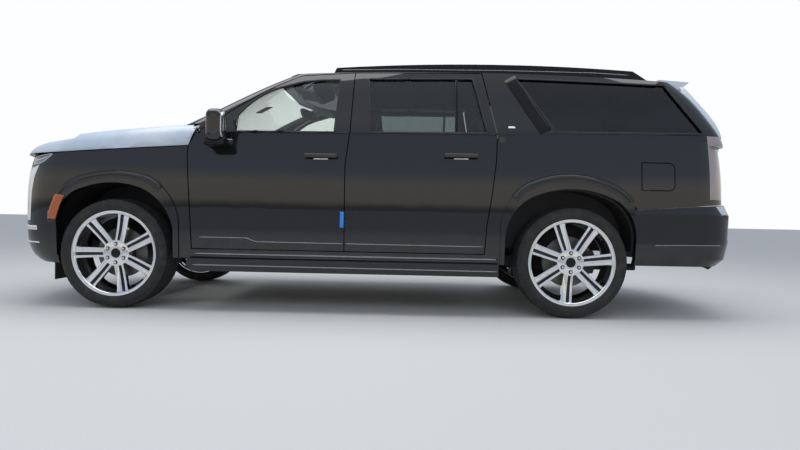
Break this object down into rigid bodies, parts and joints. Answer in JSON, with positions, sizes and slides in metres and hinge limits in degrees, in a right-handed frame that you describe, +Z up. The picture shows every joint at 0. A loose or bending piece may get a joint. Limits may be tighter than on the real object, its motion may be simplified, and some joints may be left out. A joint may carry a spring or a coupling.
{
  "type": "suv",
  "caption": "Large black family suv with multi-spoke alloy wheels, opening side doors, hood, tailgate and fuel door, steered front wheels and a furnished cabin.",
  "frame": {"origin": "middle of the footprint on the ground, under the middle of the overall length", "axes": "+X forward to the nose, +Y to the vehicle's left, +Z up"},
  "size_m": [5.7657, 2.368, 1.925],
  "materials": {
    "body_paint": "high gloss black paint",
    "glass_clear": "clear glass",
    "glass_tinted": "dark tinted glass",
    "black_trim": "gloss black trim",
    "grey_plastic": "grained dark plastic",
    "polished_alloy": "bright polished alloy",
    "tyre_rubber": "tyre rubber",
    "lamp_lens": "smoky clear lens",
    "tail_lens": "smoky red lens",
    "frame_metal": "black coated steel",
    "brake_metal": "cast metal",
    "interior_trim": "soft touch dark trim",
    "seat_leather": "dark leather"
  },
  "bodies": {
    "body": {"chassis_frame": "frame_metal", "floor_pan": "interior_trim", "body_side_left": "body_paint", "body_side_right": "body_paint", "roof_panel": "body_paint", "roof_glass": "glass_tinted", "cowl_panel": "grey_plastic", "fender_left": "body_paint", "fender_right": "body_paint", "front_bumper": "body_paint", "grille": "black_trim", "headlamps": "lamp_lens", "rear_bumper": "body_paint", "taillamps": "tail_lens", "windscreen": "glass_clear", "quarter_glass": "glass_tinted", "roof_rails": "black_trim", "running_boards": "grey_plastic", "arch_liners": "grey_plastic", "dashboard": "interior_trim", "steering_wheel": "interior_trim", "front_seats": "seat_leather", "second_row_seats": "seat_leather", "third_row_seat": "seat_leather", "engine_block": "brake_metal", "front_suspension": "frame_metal", "rear_suspension": "frame_metal", "exhaust": "brake_metal", "radiator": "brake_metal", "fuel_tank": "grey_plastic"},
    "hood": {"hood": "body_paint"},
    "tailgate": {"tailgate": "body_paint", "tailgate_glass": "glass_tinted"},
    "fuel_door": {"fuel_door": "body_paint"},
    "front_door_left": {"front_door_left": "body_paint", "front_door_glass_left": "glass_clear"},
    "rear_door_left": {"rear_door_left": "body_paint", "rear_door_glass_left": "glass_tinted"},
    "knuckle_left": {"knuckle_left": "brake_metal"},
    "wheel_front_left": {"rim_front_left": "polished_alloy", "tyre_front_left": "tyre_rubber"},
    "wheel_rear_left": {"rim_rear_left": "polished_alloy", "tyre_rear_left": "tyre_rubber"},
    "front_door_right": {"front_door_right": "body_paint", "front_door_glass_right": "glass_clear"},
    "rear_door_right": {"rear_door_right": "body_paint", "rear_door_glass_right": "glass_tinted"},
    "knuckle_right": {"knuckle_right": "brake_metal"},
    "wheel_front_right": {"rim_front_right": "polished_alloy", "tyre_front_right": "tyre_rubber"},
    "wheel_rear_right": {"rim_rear_right": "polished_alloy", "tyre_rear_right": "tyre_rubber"}
  },
  "joints": [
    {"name": "hood_hinge", "type": "hinge", "parent": "body", "child": "hood", "pos_m": [1.32, 0, 1.355], "axis": [0, -1, 0], "range_deg": [0, 48]},
    {"name": "tailgate_hinge", "type": "hinge", "parent": "body", "child": "tailgate", "pos_m": [-2.228, 0, 1.864], "axis": [0, 1, 0], "range_deg": [0, 82]},
    {"name": "fuel_door_hinge", "type": "hinge", "parent": "body", "child": "fuel_door", "pos_m": [-2.008, 0.991, 1.055], "axis": [0, 0, -1], "range_deg": [0, 90]},
    {"name": "front_door_left_hinge", "type": "hinge", "parent": "body", "child": "front_door_left", "pos_m": [1.29, 1.007, 0.9], "axis": [0, 0, -1], "range_deg": [0, 68]},
    {"name": "rear_door_left_hinge", "type": "hinge", "parent": "body", "child": "rear_door_left", "pos_m": [0.128, 1.018, 0.9], "axis": [0, 0, -1], "range_deg": [0, 68]},
    {"name": "steer_left", "type": "hinge", "parent": "body", "child": "knuckle_left", "pos_m": [1.903, 0.8, 0.412], "axis": [0, 0, 1], "range_deg": [-34, 34]},
    {"name": "wheel_front_left_spin", "type": "hinge", "parent": "knuckle_left", "child": "wheel_front_left", "pos_m": [1.903, 0.87, 0.412], "axis": [0, 1, 0], "continuous": true},
    {"name": "wheel_rear_left_spin", "type": "hinge", "parent": "body", "child": "wheel_rear_left", "pos_m": [-1.503, 0.87, 0.412], "axis": [0, 1, 0], "continuous": true},
    {"name": "front_door_right_hinge", "type": "hinge", "parent": "body", "child": "front_door_right", "pos_m": [1.29, -1.007, 0.9], "axis": [0, 0, 1], "range_deg": [0, 68]},
    {"name": "rear_door_right_hinge", "type": "hinge", "parent": "body", "child": "rear_door_right", "pos_m": [0.128, -1.018, 0.9], "axis": [0, 0, 1], "range_deg": [0, 68]},
    {"name": "steer_right", "type": "hinge", "parent": "body", "child": "knuckle_right", "pos_m": [1.903, -0.8, 0.412], "axis": [0, 0, 1], "range_deg": [-34, 34]},
    {"name": "wheel_front_right_spin", "type": "hinge", "parent": "knuckle_right", "child": "wheel_front_right", "pos_m": [1.903, -0.87, 0.412], "axis": [0, 1, 0], "continuous": true},
    {"name": "wheel_rear_right_spin", "type": "hinge", "parent": "body", "child": "wheel_rear_right", "pos_m": [-1.503, -0.87, 0.412], "axis": [0, 1, 0], "continuous": true}
  ],
  "couplings": [
    {"joint": "steer_right", "follows": "steer_left", "ratio": 1}
  ]
}
